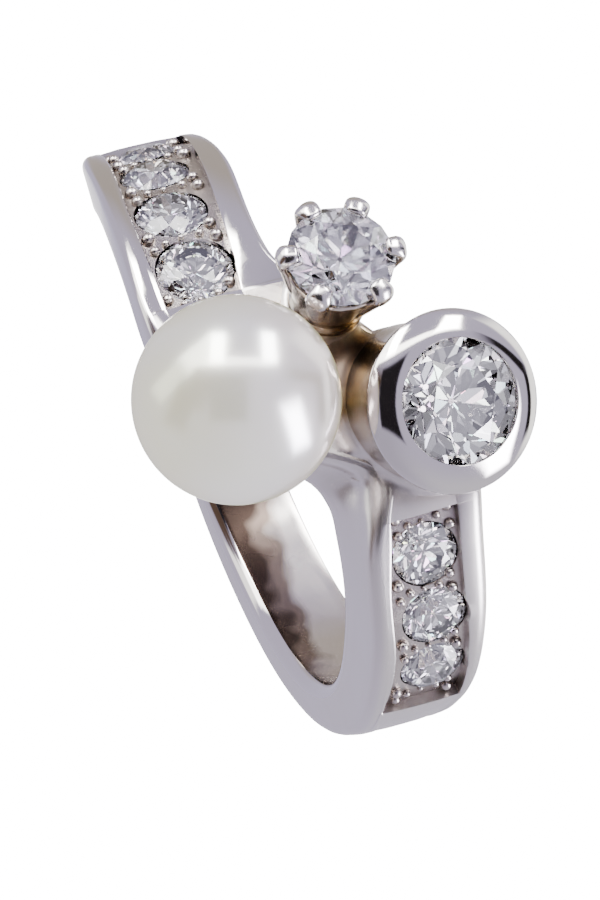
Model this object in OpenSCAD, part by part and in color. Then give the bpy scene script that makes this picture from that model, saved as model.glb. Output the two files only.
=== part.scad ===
// Pearl and diamond crossover ring, lying on its side as it rests by itself.
// Ring frame before it is laid down: the finger's axis is Z, the head looks along -Y,
// angles run from the head, negative up one shoulder (+X) and positive down the other.

/* [Finger hole] */
// Radius of the hole for the finger
bore_r = 8.75; // [8.6:0.05:8.9]

/* [Pearl] */
// Diameter of the pearl
pearl_d = 6.85; // [6.75:0.05:6.95]
// Height of the pearl's centre from the finger's axis
pearl_r = 14.3; // [14.2:0.1:14.6]
// Diameter of the peg that the pearl is glued on
peg_d = 0.9; // [0.8:0.1:1.0]

/* [Bezel setting] */
// Diameter of the diamond in the bezel
bezel_stone_d = 4.4; // [4.3:0.05:4.45]
// Height of that diamond's girdle from the finger's axis
bezel_r = 13.4; // [13.3:0.1:13.6]
// Outer radius of the bezel's rim
bezel_rim_r = 3.07; // [3.05:0.01:3.15]

/* [Claw setting] */
// Diameter of the diamond in the claws
claw_stone_d = 3.65; // [3.55:0.05:3.7]
// Height of that diamond's girdle from the finger's axis
claw_r = 13.8; // [13.7:0.1:14]
// Thickness of one claw
claw_d = 0.66; // [0.6:0.01:0.68]

/* [Shoulders] */
// Depth of the channel between the two polished rims
channel_depth = 0.35; // [0.3:0.05:0.4]
// Radius on the band's outer edges
edge_r = 0.45; // [0.35:0.05:0.5]
// Radius of the open hole behind each shoulder diamond
open_back_r = 0.55; // [0.5:0.05:0.6]

/* [Hidden] */
$fn = 64;
gap = 0.04;
step = 5;

// The band, one row a section: angle, z of the upper side at the hole, z of the upper edge,
// z of the lower edge, top radius at the upper edge, top radius at the lower edge
BAND = [
    [-180, 0.92, 0.92, -2.08, 10.62, 10.58],
    [-150, 1.27, 1.27, -1.52, 10.55, 10.58],
    [-120, 2.12, 2.12, -0.87, 10.72, 10.68],
    [ -90, 3.62, 3.62, -0.32, 10.98, 10.84],
    [ -60, 4.50, 4.50, -0.14, 10.80, 10.80],
    [ -30, 5.10, 5.10,  0.28, 10.72, 10.75],
    [ -18, 5.20, 5.20, -1.05, 10.65, 10.55],
    [  -6, 5.00, 5.00, -2.60, 10.50, 10.45],
    [   6, 3.70, 3.00, -4.30, 10.60, 10.60],
    [  15, 1.40, 0.10, -4.30, 11.20, 11.15],
    [  22, 0.75, 0.12, -4.00, 11.78, 11.75],
    [  30, 0.65, 0.45, -3.72, 12.02, 12.00],
    [  45, 0.62, 0.60, -3.50, 12.05, 12.05],
    [  60, 0.68, 0.68, -3.26, 11.72, 11.82],
    [  75, 0.69, 0.69, -3.03, 11.20, 11.26],
    [  90, 0.68, 0.68, -2.93, 10.74, 10.78],
    [ 120, 0.68, 0.68, -2.70, 10.58, 10.62],
    [ 150, 0.70, 0.70, -2.40, 10.72, 10.72],
    [ 180, 0.92, 0.92, -2.08, 10.62, 10.58]];

// Each channel, one row a section: angle, z of its middle line, half width
UPPER_CHANNEL = [[-87, 1.62, 1.40], [-62, 2.20, 1.46], [-44, 2.66, 1.46], [-23.2, 3.04, 1.30]];
LOWER_CHANNEL = [[23.6, -1.76, 1.17], [36, -1.42, 1.28], [50, -1.42, 1.31], [65, -1.22, 1.40]];

// Shoulder diamonds, one row a stone: angle, z, diameter
UPPER_STONES = [[-31, 2.83, 2.60], [-46.5, 2.68, 2.45], [-62, 2.33, 2.35], [-77, 1.87, 2.25]];
LOWER_STONES = [[30.8, -1.60, 2.25], [42.8, -1.66, 2.25], [55.0, -1.58, 2.25]];

// Places of the three head pieces: angle, z, angle of the axis, lean of the axis
PEARL_AT = [-1.2, 4.0, -1.2, 0];
BEZEL_AT = [6.9, -3.25, 11.2, 9.5];
CLAW_AT = [-16.8, -1.0, -17.8, 2.9];
claw_turn = 9.5;
claw_count = 6;

// How the ring lies: it leans on the bezel's rim and on the back of its band
LIE_TURN = [-9.8, 8.1, 0];
LIE_MOVE = [-0.104, 3.143, 3.779];

// Smooth curve through column c of table t at angle a
function slope(t, i, c) =
    let (lo = max(i - 1, 0), hi = min(i + 1, len(t) - 1))
    (t[hi][c] - t[lo][c]) / (t[hi][0] - t[lo][0]);
function row_before(t, a) = max([for (i = [0 : len(t) - 2]) if (t[i][0] <= a) i]);
function at(t, a, c) =
    let (i = row_before(t, a), w = t[i + 1][0] - t[i][0], u = (a - t[i][0]) / w)
    t[i][c] * (1 + 2 * u) * (1 - u) * (1 - u) + slope(t, i, c) * w * u * (1 - u) * (1 - u)
    + t[i + 1][c] * u * u * (3 - 2 * u) + slope(t, i + 1, c) * w * u * u * (u - 1);

// A point of the ring from its angle, radius and z
function spot(a, r, z) = [-r * sin(a), -r * cos(a), z];

// Puts children on the ring: their Z points outwards along an axis at angle_axis
module seat_on_ring(place, r) {
    translate(spot(place[0], r, place[1]))
        rotate([0, 0, -90 - place[2]])
            rotate([0, 90 + place[3], 0])
                children();
}

// A row of equal sections joined to one solid: closed rings, or open with flat ends
module swept(sections, closed) {
    n = len(sections[0]);
    m = len(sections);
    last = closed ? m - 1 : m - 2;
    polyhedron(
        points = [for (s = sections) each s],
        faces = concat(
            [for (i = [0 : last], j = [0 : n - 1])
                let (p = i * n, q = ((i + 1) % m) * n, k = (j + 1) % n)
                    each [[p + j, p + k, q + j], [p + k, q + k, q + j]]],
            closed ? [] : [
                [for (j = [n - 1 : -1 : 0]) j],
                [for (j = [0 : n - 1]) (m - 1) * n + j]]));
}

// One section of the band, with its outer edges rounded
function band_section(a) =
    let (side = at(BAND, a, 1), hi = at(BAND, a, 2), lo = at(BAND, a, 3),
        up = at(BAND, a, 4), down = at(BAND, a, 5),
        in = bore_r - 0.9, wide = up - edge_r - bore_r)
    concat(
        [spot(a, in, side + (side - hi) * 0.9 / wide)],
        [for (k = [0.25 : 0.25 : 0.8]) spot(a, bore_r + k * wide, side + k * (hi - side))],
        [for (t = [0 : 30 : 90])
            spot(a, up - edge_r + edge_r * sin(t), hi - edge_r + edge_r * cos(t))],
        [for (t = [90 : -30 : 0])
            spot(a, down - edge_r + edge_r * sin(t), lo + edge_r - edge_r * cos(t))],
        [spot(a, in, lo)]);

// The sections lie closer together under the head, where the band crosses over
module band() {
    angles = [for (a = [-180 : step : 179]) each (abs(a - 5) < 31 ? [a, a + step / 2] : [a])];
    swept([for (a = angles) band_section(a)], true);
}

// Radius of a channel's floor, and the solid that cuts it
function floor_r(a) = (at(BAND, a, 4) + at(BAND, a, 5)) / 2 - channel_depth;
function channel_section(t, a) =
    let (mid = at(t, a, 1), half = at(t, a, 2), low = floor_r(a))
    [spot(a, low, mid + half), spot(a, low + 2, mid + half),
        spot(a, low + 2, mid - half), spot(a, low, mid - half)];

module channel(t) {
    first = t[0][0];
    angle = t[len(t) - 1][0] - first;
    parts = ceil(angle / step);
    swept([for (i = [0 : parts]) channel_section(t, first + angle * i / parts)], false);
}

// Proportions of an old brilliant cut, as shares of its diameter
crown = 0.16;
pavilion = 0.43;
table_share = 0.52;
girdle = 0.02;
culet = 0.05;

// Height of a facet's side corner, which keeps the facet flat
function corner_z(r_in, z_in, r_out, z_out, r) =
    z_in - (z_in - z_out) * (r * cos(22.5) - r_in) / (r_out - r_in);
function ring(r, z, n, turn) = [for (i = [0 : n - 1])
    [r * cos(turn + i * 360 / n), r * sin(turn + i * 360 / n), z]];

// A round diamond: girdle at z = 0, table upwards, eight-fold facets
module diamond(d) {
    r = d / 2;
    g = girdle * d / 2;
    top = g + crown * d;
    deep = -g - pavilion * d;
    t = table_share * r;
    m = 0.77 * r;
    q = 0.30 * r;
    c = culet * r;
    points = concat(
        ring(t, top, 8, 0),
        ring(m, corner_z(t, top, r, g, m), 8, 22.5),
        ring(r, g, 16, 0),
        ring(r, -g, 16, 0),
        ring(q, corner_z(c, deep, r, -g, q), 8, 22.5),
        ring(c, deep, 8, 0));
    polyhedron(points = points, faces = concat(
        [[for (i = [7 : -1 : 0]) i]],
        [[for (i = [0 : 7]) 56 + i]],
        [for (i = [0 : 7]) let (k = (i + 1) % 8, h = (i + 7) % 8) each [
            [i, k, 8 + i],
            [i, 8 + i, 16 + 2 * i, 8 + h],
            [8 + i, 17 + 2 * i, 16 + 2 * i],
            [8 + i, 16 + 2 * k, 17 + 2 * i],
            [32 + 2 * i, 33 + 2 * i, 48 + i],
            [33 + 2 * i, 32 + 2 * k, 48 + i],
            [56 + i, 48 + h, 32 + 2 * i, 48 + i],
            [56 + k, 56 + i, 48 + i]]],
        [for (i = [0 : 15]) let (k = (i + 1) % 16) [16 + i, 16 + k, 32 + k, 32 + i]]));
}

// The room that a diamond takes in its seat, open above and behind
module diamond_room(d, above, back_r, back) {
    r = d / 2 + gap;
    rotate_extrude()
        polygon([[0, -back], [back_r, -back], [back_r, -pavilion * d * 0.8],
            [r, -girdle * d / 2 - 0.02], [r, above], [0, above]]);
}

// Shoulder diamonds: place and height of one, with its table level with the rims
function stone_place(s) = [s[0], s[1], s[0], 0];
function stone_r(s) = floor_r(s[0]) + channel_depth - (crown + girdle / 2) * s[2] - 0.03;

module shoulder_diamond(s) {
    color("white") seat_on_ring(stone_place(s), stone_r(s)) diamond(s[2]);
}

module shoulder_seats(stones) {
    for (s = stones)
        seat_on_ring(stone_place(s), stone_r(s)) diamond_room(s[2], 1, open_back_r, 4);
}

// Small metal grains raised between the diamonds
module grain(t, a, off, r) {
    translate(spot(a, floor_r(a) + 0.06, at(t, a, 1) + off)) sphere(r, $fn = 24);
}

module grains(t, stones, off, r) {
    for (i = [0 : len(stones) - 2], side = [-1, 1])
        grain(t, (stones[i][0] + stones[i + 1][0]) / 2, side * off, r);
}

// Bezel: a cup with a domed rim round its diamond
dome = [for (t = [0 : 15 : 90]) [bezel_rim_r - 0.3 + 0.3 * cos(t), -0.22 + 0.3 * sin(t)]];
module bezel_cup() {
    rotate_extrude()
        polygon(concat(
            [[0, -4.6], [2.5, -4.6], [2.72, -2.2]], dome,
            [[2.38, 0.30], [2.16, 0.30], [0, 0.30]]));
}

module bezel_room() {
    r = bezel_stone_d / 2 + gap;
    rotate_extrude()
        polygon([[0, -6], [0.9, -6], [0.9, -2.1], [1.15, -1.75], [r, -0.08],
            [r, 0.08], [r - 0.09, 0.26], [r - 0.06, 1], [0, 1]]);
}

// Claw setting: a tapered cup with round claws bent over the girdle
module claw_cup() {
    rotate_extrude()
        polygon([[0, -4.6], [1.15, -4.6], [1.15, -3.3], [1.32, -3.2], [1.32, -3.0],
            [1.2, -2.9], [1.78, -0.45], [1.7, -0.32], [0, -0.32]]);
    for (i = [0 : claw_count - 1])
        rotate([0, 0, -claw_turn + i * 360 / claw_count]) {
            translate([1.46, 0, -2.0]) rotate([0, 13.8, 0]) cylinder(d = claw_d, h = 2.25);
            translate([2.0, 0, 0.19]) sphere(d = claw_d * 1.06, $fn = 32);
            translate([2.0, 0, 0.19]) rotate([0, -62, 0]) cylinder(d = claw_d, h = 0.3);
            translate([1.735, 0, 0.33]) sphere(d = claw_d * 1.06, $fn = 32);
        }
}

module claw_room() {
    r = claw_stone_d / 2 + gap;
    rotate_extrude()
        polygon([[0, -6], [0.65, -6], [0.65, -2.6], [r - 0.45, -0.6], [r, -0.08], [r, 0.08],
            [r * (table_share + 0.04), 0.66], [0, 0.66]]);
}

// Dish and stem under the pearl
module pearl_dish() {
    rotate_extrude()
        polygon([[0, -5.6], [1.3, -5.6], [1.15, -4.2], [1.5, -3.6], [1.95, -3.15],
            [1.95, -2.9], [0, -2.9]]);
}

// All the soldered white gold
module ring_mount() {
    color("silver") difference() {
        union() {
            difference() {
                union() {
                    band();
                    seat_on_ring(PEARL_AT, pearl_r) pearl_dish();
                    seat_on_ring(BEZEL_AT, bezel_r) bezel_cup();
                    seat_on_ring(CLAW_AT, claw_r) claw_cup();
                }
                channel(UPPER_CHANNEL);
                channel(LOWER_CHANNEL);
                seat_on_ring(PEARL_AT, pearl_r) sphere(d = pearl_d + 2 * gap);
            }
            grains(UPPER_CHANNEL, UPPER_STONES, 1.10, 0.27);
            grains(LOWER_CHANNEL, LOWER_STONES, 0.95, 0.24);
            seat_on_ring(PEARL_AT, pearl_r) translate([0, 0, -4.5]) cylinder(d = peg_d, h = 3.1);
        }
        cylinder(r = bore_r, h = 30, center = true);
        shoulder_seats(UPPER_STONES);
        shoulder_seats(LOWER_STONES);
        seat_on_ring(BEZEL_AT, bezel_r) bezel_room();
        seat_on_ring(CLAW_AT, claw_r) claw_room();
    }
}

module pearl() {
    color("ivory") seat_on_ring(PEARL_AT, pearl_r) difference() {
        sphere(d = pearl_d);
        translate([0, 0, -pearl_d]) cylinder(d = peg_d + 2 * gap, h = pearl_d - 1.3);
    }
}

module bezel_diamond() {
    color("white") seat_on_ring(BEZEL_AT, bezel_r) diamond(bezel_stone_d);
}

module claw_diamond() {
    color("white") seat_on_ring(CLAW_AT, claw_r) diamond(claw_stone_d);
}

// Lays the ring down with its lowest points on the surface
module laid() {
    translate(LIE_MOVE) rotate(LIE_TURN) children();
}

laid() ring_mount();
laid() pearl();
laid() bezel_diamond();
laid() claw_diamond();
laid() shoulder_diamond(UPPER_STONES[0]);  // upper_diamond_1
laid() shoulder_diamond(UPPER_STONES[1]);  // upper_diamond_2
laid() shoulder_diamond(UPPER_STONES[2]);  // upper_diamond_3
laid() shoulder_diamond(UPPER_STONES[3]);  // upper_diamond_4
laid() shoulder_diamond(LOWER_STONES[0]);  // lower_diamond_1
laid() shoulder_diamond(LOWER_STONES[1]);  // lower_diamond_2
laid() shoulder_diamond(LOWER_STONES[2]);  // lower_diamond_3
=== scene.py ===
# %% [markdown]
# # Dressing a pearl and diamond ring
#
# This lesson dresses a imported CAD ring: a crossover band in white gold with a pearl,
# a bezel-set diamond, a claw-set diamond and small diamonds sunk in both shoulders.
# The solids are right in size and place, but a render also needs polish, soft edges
# and light to reflect. First the frame is loaded.

import bmesh
import bpy
import math
import random
from mathutils import Matrix, Vector
from mathutils.bvhtree import BVHTree


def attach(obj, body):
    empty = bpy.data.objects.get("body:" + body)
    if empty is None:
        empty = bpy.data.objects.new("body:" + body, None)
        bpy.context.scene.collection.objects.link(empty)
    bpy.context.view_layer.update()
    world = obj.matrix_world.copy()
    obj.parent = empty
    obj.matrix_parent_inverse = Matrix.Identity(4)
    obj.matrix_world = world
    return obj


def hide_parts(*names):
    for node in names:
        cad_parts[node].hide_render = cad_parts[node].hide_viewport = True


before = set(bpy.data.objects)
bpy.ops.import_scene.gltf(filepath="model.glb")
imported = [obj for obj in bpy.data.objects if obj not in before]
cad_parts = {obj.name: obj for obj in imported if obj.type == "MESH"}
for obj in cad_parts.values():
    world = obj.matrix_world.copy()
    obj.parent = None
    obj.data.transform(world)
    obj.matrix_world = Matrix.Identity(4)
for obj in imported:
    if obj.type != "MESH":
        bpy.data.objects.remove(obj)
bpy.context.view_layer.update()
random.seed(7)
print("nodes:", sorted(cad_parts))

# %% [markdown]
# A ring is easiest to think of with its finger hole upright, in millimetres: each
# place is an angle round the hole, a distance from its axis and a height along it.
# Angles run from the head, negative up one shoulder and positive down the other.
# The finished ring lies on its side, so every piece is turned and moved once at the end.

# %% Ring frame and resting frame
LIE_TURN = (-9.8, 8.1)
LIE_MOVE = (-0.104, 3.143, 3.779)
LAID = (Matrix.Scale(0.001, 4) @ Matrix.Translation(LIE_MOVE)
        @ Matrix.Rotation(math.radians(LIE_TURN[1]), 4, "Y")
        @ Matrix.Rotation(math.radians(LIE_TURN[0]), 4, "X"))


def spot(angle, radius, z):
    """A place in the upright ring: angle from the head, distance from the axis, height."""
    a = math.radians(angle)
    return Vector((-radius * math.sin(a), -radius * math.cos(a), z))


def setting_frame(angle, radius, z, axis_angle, lean):
    """A setting's own axes: Z outwards, leaning towards the ring's lower side."""
    return (Matrix.Translation(spot(angle, radius, z))
            @ Matrix.Rotation(math.radians(-90 - axis_angle), 4, "Z")
            @ Matrix.Rotation(math.radians(90 + lean), 4, "Y"))


PEARL = setting_frame(-1.2, 14.3, 4.0, -1.2, 0)
BEZEL = setting_frame(6.9, 13.4, -3.25, 11.2, 9.5)
CLAWS = setting_frame(-16.8, 13.8, -1.0, -17.8, 2.9)
print("pearl centre lies at", [round(v * 1000, 2) for v in LAID @ PEARL.translation])

# %% [markdown]
# Every finish here is a small tree of nodes, so a few helpers come first. One turns a
# colour picked on screen (sRGB, as hex) into the linear values that a shader works in.
# One adds a node with its settings, values and links in one line. One turns a real size
# into a texture's scale: coordinates are in metres, so marks 2 mm wide need a scale of
# 500. They are read in object space, so the marks stay where they are on the metal.

# %% Helpers for materials
def linear(hex_colour, strength=1.0):
    """An sRGB hex colour as linear values, made stronger where it is a light."""
    out = []
    for i in (1, 3, 5):
        c = int(hex_colour[i:i + 2], 16) / 255
        out.append(strength * (c / 12.92 if c <= 0.04045 else ((c + 0.055) / 1.055) ** 2.4))
    return (*out, 1.0)


def add(tree, kind, settings=None, inputs=None, stops=(), **named_inputs):
    """One node: its settings, its inputs as sockets or plain values, and a ramp's stops."""
    node = tree.nodes.new(kind)
    for name, value in (settings or {}).items():
        setattr(node, name, value)
    for name, value in (*(inputs or {}).items(), *named_inputs.items()):
        socket = node.inputs[name.replace("_", " ") if isinstance(name, str) else name]
        if isinstance(value, bpy.types.NodeSocket):
            tree.links.new(value, socket)
        else:
            socket.default_value = value
    for _ in stops[2:]:
        node.color_ramp.elements.new(0.5)
    for i, (position, colour) in enumerate(stops):
        element = node.color_ramp.elements[i]
        element.position, element.color = position, linear(colour)
    return node


def scale_of(size):
    """A texture's scale for marks of this size in mm."""
    return 1000 / size


def new_material(name):
    """A new material with an empty tree, and that tree."""
    material = bpy.data.materials.new(name)
    material.use_nodes = True
    material.node_tree.nodes.clear()
    return material, material.node_tree


print("marks 2 mm wide need a texture scale of", scale_of(2))

# %% [markdown]
# Polished metal shows its neighbours more than itself, so white gold is little more
# than a pale metallic colour and a low roughness. Shade is painted into that colour.
# An Ambient Occlusion node finds the corners and hollows, and a ramp on it runs from a
# dark painted shade there to clean metal. Under the head, where the settings are
# soldered to the band, more shade is painted: the distance from that place, made ragged
# by blotches of 0.7 mm, drives a second ramp from brown through yellowish to clean.
# Multiplied together, both dim the reflections.

# %% Painted shade in the corners and under the head
# The place under the head where the settings meet the band: middle of a painted shade
HEAD_SHADE_PLACE = LAID @ spot(-3, 11.0, -0.9)


def gold_with_painted_shade(tree, place, tone, shade_tone, reach):
    """The gold's own tone with painted shade in its corners and under the head."""
    # Painted shade: this ramp darkens the gold in corners and hollows
    open_sky = add(tree, "ShaderNodeAmbientOcclusion", {"samples": 2}, Distance=reach * 0.001)
    corners = add(tree, "ShaderNodeValToRGB", Fac=open_sky.outputs["AO"],
                  stops=((0.15, shade_tone), (0.62, tone)))
    # Painted shade under the head: brown near that place, yellowish further out, clean beyond
    away = add(tree, "ShaderNodeVectorMath", {"operation": "DISTANCE"},
               {0: place, 1: HEAD_SHADE_PLACE})
    blotches = add(tree, "ShaderNodeTexNoise", Vector=place, Scale=scale_of(0.714),
                   Detail=3.0, Roughness=0.6)
    ragged = add(tree, "ShaderNodeMath", {"operation": "MULTIPLY_ADD"},
                 {0: blotches.outputs["Fac"], 1: 0.0008, 2: away.outputs["Value"]})
    near = add(tree, "ShaderNodeMapRange", Value=ragged.outputs["Value"],
               From_Min=0.0, From_Max=0.004)
    head_shade = add(tree, "ShaderNodeValToRGB", Fac=near.outputs["Result"],
                stops=((0.30, "#7F7064"), (0.48, "#CEBC96"), (0.66, "#FFFFFF")))
    return add(tree, "ShaderNodeMixRGB", {"blend_type": "MULTIPLY"}, Fac=1.0,
               Color1=corners.outputs["Color"], Color2=head_shade.outputs["Color"]).outputs["Color"]


print("oxide grows from", [round(v * 1000, 1) for v in HEAD_SHADE_PLACE], "mm")

# %% [markdown]
# Inside the band, shade is painted in a slanting stripe along the back of the hole,
# dull and brownish. The stripe is easy to write in the ring's own axes, so a Mapping
# node first undoes the way the ring lies. Noise of 1.3 mm breaks up the stripe's edge,
# and the painted shade fades out towards the head.

# %% Painted shade in the finger hole
def gold_with_hole_shade(tree, place, below, thin_hole_shade, thick_hole_shade):
    """Painted shade in a slanting stripe in the back half of the hole, over the colour below it."""
    ring = add(tree, "ShaderNodeMapping", {"vector_type": "TEXTURE"}, Vector=place,
               Location=[v * 0.001 for v in LIE_MOVE],
               Rotation=[math.radians(v) for v in (*LIE_TURN, 0)]).outputs["Vector"]
    slant = add(tree, "ShaderNodeVectorMath", {"operation": "DOT_PRODUCT"},
                {0: ring, 1: (0, 0.2, 1)})
    edge_noise = add(tree, "ShaderNodeTexNoise", Vector=place, Scale=scale_of(1.333), Detail=1.0)
    height = add(tree, "ShaderNodeMath", {"operation": "MULTIPLY_ADD"},
                 {0: edge_noise.outputs["Fac"], 1: 0.0016, 2: slant.outputs["Value"]})
    axes = add(tree, "ShaderNodeSeparateXYZ", Vector=ring)
    back_half = add(tree, "ShaderNodeMapRange", {"interpolation_type": "SMOOTHSTEP"},
                    Value=axes.outputs["Y"], From_Min=0.001, From_Max=0.005)
    share = add(tree, "ShaderNodeMapRange", Value=height.outputs["Value"],
                From_Min=0.0010, From_Max=0.0023, To_Max=back_half.outputs["Result"])
    hole_shade = add(tree, "ShaderNodeValToRGB", Fac=share.outputs["Result"],
               stops=((0.02, "#FFFFFF"), (0.42, thin_hole_shade), (0.62, thin_hole_shade),
                      (0.88, thick_hole_shade)))
    return add(tree, "ShaderNodeMixRGB", {"blend_type": "MULTIPLY"}, Fac=1.0,
               Color1=below, Color2=hole_shade.outputs["Color"]).outputs["Color"]


# %% [markdown]
# Polish is never even. Roughness drifts in clouds of 2.4 mm, where the wheel passed more
# or less often, and the same size of soft dents, a hundredth of a millimetre deep, bends
# each reflection a little. Hairlines cross the surface: real ones are about 0.01 mm wide,
# too fine to show, so they are drawn 0.08 mm wide and 1.1 mm long, and kept faint.

# %% White gold
def white_gold(name, tone, shade_tone, rough, hairline=0.10, reach=1.6, dents=0.012, hole_shade=None):
    """One finish of the metal: rough is its lowest and highest, reach and dents are mm."""
    material, tree = new_material(name)
    place = add(tree, "ShaderNodeTexCoord").outputs["Object"]
    colour = gold_with_painted_shade(tree, place, tone, shade_tone, reach)
    # Painted shade in a stripe inside the hole, where one is given
    if hole_shade:
        colour = gold_with_hole_shade(tree, place, colour, *hole_shade)
    clouds = add(tree, "ShaderNodeTexNoise", Vector=place, Scale=scale_of(2.38),
                 Detail=3.0, Roughness=0.55)
    worn = add(tree, "ShaderNodeMapRange", Value=clouds.outputs["Fac"],
               From_Min=0.3, From_Max=0.7, To_Min=rough[0], To_Max=rough[1])
    waves = add(tree, "ShaderNodeTexNoise", Vector=place, Scale=scale_of(2.38), Detail=1.0)
    dented = add(tree, "ShaderNodeBump", Height=waves.outputs["Fac"], Strength=1.0,
                 Distance=dents * 0.001)
    strokes = add(tree, "ShaderNodeMapping", Vector=place, Rotation=(0.4, 0.2, 0.9),
                  Scale=(1.0, 14.0, 5.0))
    lines = add(tree, "ShaderNodeTexNoise", Vector=strokes.outputs["Vector"],
                Scale=scale_of(1.11), Detail=4.0, Roughness=0.6)
    scratched = add(tree, "ShaderNodeBump", Height=lines.outputs["Fac"], Strength=hairline,
                    Distance=0.00002, Normal=dented.outputs["Normal"])
    shader = add(tree, "ShaderNodeBsdfPrincipled", Base_Color=colour, Metallic=1.0,
                 Roughness=worn.outputs["Result"], Normal=scratched.outputs["Normal"])
    add(tree, "ShaderNodeOutputMaterial", Surface=shader.outputs["BSDF"])
    return material


# The second colour of each finish is the dark tone of its painted shade in corners
# Rhodium plate on a wheel polish: a bright, sharp mirror, faintly cool
WHITE_GOLD = white_gold("polished_rhodium_plated_white_gold", "#DDD8D4", "#453626",
                        (0.04, 0.10), hairline=0.05)
# The plate worn satin by years of rubbing: broad soft glints in place of a mirror
WORN_GOLD = white_gold("worn_satin_white_gold", "#DDD8D4", "#6A5A50", (0.28, 0.38), dents=0.004)
# The inside, hammered to size, with painted shade in a slanting stripe: wavy, blurred and brownish
BORE_GOLD = white_gold("painted_shade_inside_white_gold", "#D6CFC9", "#4A3A32", (0.20, 0.32),
                       hairline=0.08, dents=0.08, hole_shade=("#94877F", "#4A3F3A"))
# Cut by hand with a graver: many small uneven glints with painted shade between them
CUT_GOLD = white_gold("graver_cut_white_gold", "#C6BEB8", "#64574E", (0.14, 0.34),
                      hairline=0.80, reach=0.8)
# Walls of the settings: painted shade, darker and yellowish towards the bottom
CUP_GOLD = white_gold("painted_shade_setting_white_gold", "#DAD4CC", "#9A8664", (0.16, 0.26), reach=3.0)
# Claws filed round by hand: small blurred glints that waver along each claw
CLAW_GOLD = white_gold("hand_finished_claw_white_gold", "#DDD8D4", "#5A4A3C", (0.15, 0.26),
                       reach=0.5, dents=0.03)
# Seats cut bright before the stones went in: clean and pale, to light them from behind
SEAT_GOLD = white_gold("bright_cut_seat_white_gold", "#EAE6E2", "#CFC8C0", (0.06, 0.14),
                       reach=0.5)
print("finishes:", sorted(m.name for m in bpy.data.materials if "white_gold" in m.name))

# %% [markdown]
# A cultured pearl is a ball of thin translucent layers of nacre. Its body is creamy
# white, its lustre is soft, and light caught between the layers gives overtones, here
# rosy on the side of the bezel and cream to green on the far side. A principled shader
# covers this: a little subsurface for depth, a part metallic for the glow of the layers,
# a smooth coat for the outermost one, a thin film for the overtones, and a sheen for the
# pale edge. The colour runs along one direction in object space, and patches of 3.8 mm
# keep it from being an even blend. The layers' own ripple, 0.7 mm here, is barely felt.

# %% Pearl nacre
def nacre():
    """Cultured pearl: a soft inner glow under a glossy skin, rosy to cream."""
    material, tree = new_material("cultured_pearl_nacre")
    place = add(tree, "ShaderNodeTexCoord").outputs["Object"]
    patches = add(tree, "ShaderNodeTexNoise", Vector=place, Scale=scale_of(3.85),
                  Detail=2.0, Roughness=0.5)
    away_from_bezel = LAID.to_3x3() @ Vector((0, 0, 1000))
    middle = (LAID @ PEARL.translation).dot(away_from_bezel)
    side = add(tree, "ShaderNodeVectorMath", {"operation": "DOT_PRODUCT"},
               {0: place, 1: away_from_bezel})
    across = add(tree, "ShaderNodeMapRange", Value=side.outputs["Value"], To_Min=-0.2,
                 To_Max=0.8, From_Min=middle - 0.0035, From_Max=middle + 0.0035)
    mixed = add(tree, "ShaderNodeMath", {"operation": "MULTIPLY_ADD"},
                {0: patches.outputs["Fac"], 1: 0.4, 2: across.outputs["Result"]})
    tint = add(tree, "ShaderNodeValToRGB", Fac=mixed.outputs["Value"],
               stops=((0.0, "#FBE9E2"), (0.42, "#FAF5F7"), (0.62, "#FBF8F1"),
                      (0.95, "#F6F3D8")))
    growth = add(tree, "ShaderNodeTexNoise", Vector=place, Scale=scale_of(0.667),
                 Detail=3.0, Roughness=0.6)
    bump = add(tree, "ShaderNodeBump", Height=growth.outputs["Fac"], Strength=0.06,
               Distance=0.00003)
    shader = add(tree, "ShaderNodeBsdfPrincipled", Base_Color=tint.outputs["Color"],
                 Normal=bump.outputs["Normal"], Metallic=0.40, Roughness=0.22, IOR=1.53,
                 Subsurface_Weight=0.2, Subsurface_Scale=0.0005,
                 Subsurface_Radius=(1.0, 0.9, 0.8), Coat_Weight=0.8, Coat_Roughness=0.06,
                 Coat_IOR=1.75, Sheen_Weight=0.5, Sheen_Roughness=0.4,
                 Sheen_Tint=linear("#DADC96"), Thin_Film_Thickness=420.0, Thin_Film_IOR=1.36)
    add(tree, "ShaderNodeOutputMaterial", Surface=shader.outputs["BSDF"])
    return material


NACRE = nacre()
print("pearl finish:", NACRE.name)

# %% [markdown]
# Diamond bends light far more than glass does (its index is 2.417), so most of what
# enters a stone is thrown back out of its flat facets. The solids already have those
# facets, so the shader only has to be clear. Old stones carry clouds and feathers of
# about half a millimetre, drawn as a faint grey variation, which also gives each facet
# its own tone. The claw-set stone is the cloudier one, so its polish is drawn duller.

# %% Diamond
def diamond(name, clear, cloud, polish):
    """A transparent stone with cells of clearer and greyer diamond."""
    material, tree = new_material(name)
    place = add(tree, "ShaderNodeTexCoord").outputs["Object"]
    clouds = add(tree, "ShaderNodeTexVoronoi", Vector=place, Scale=scale_of(0.526))
    tint = add(tree, "ShaderNodeValToRGB", Fac=clouds.outputs["Distance"],
               stops=((0.1, clear), (0.8, cloud)))
    shader = add(tree, "ShaderNodeBsdfPrincipled", Base_Color=tint.outputs["Color"],
                 Roughness=polish, IOR=2.417, Transmission_Weight=1.0)
    add(tree, "ShaderNodeOutputMaterial", Surface=shader.outputs["BSDF"])
    return material


# Clean and sharply polished: hard bright and dark facets
CLEAR_STONE = diamond("old_cut_diamond", "#FFFFFF", "#E2E0E6", 0.0)
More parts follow.
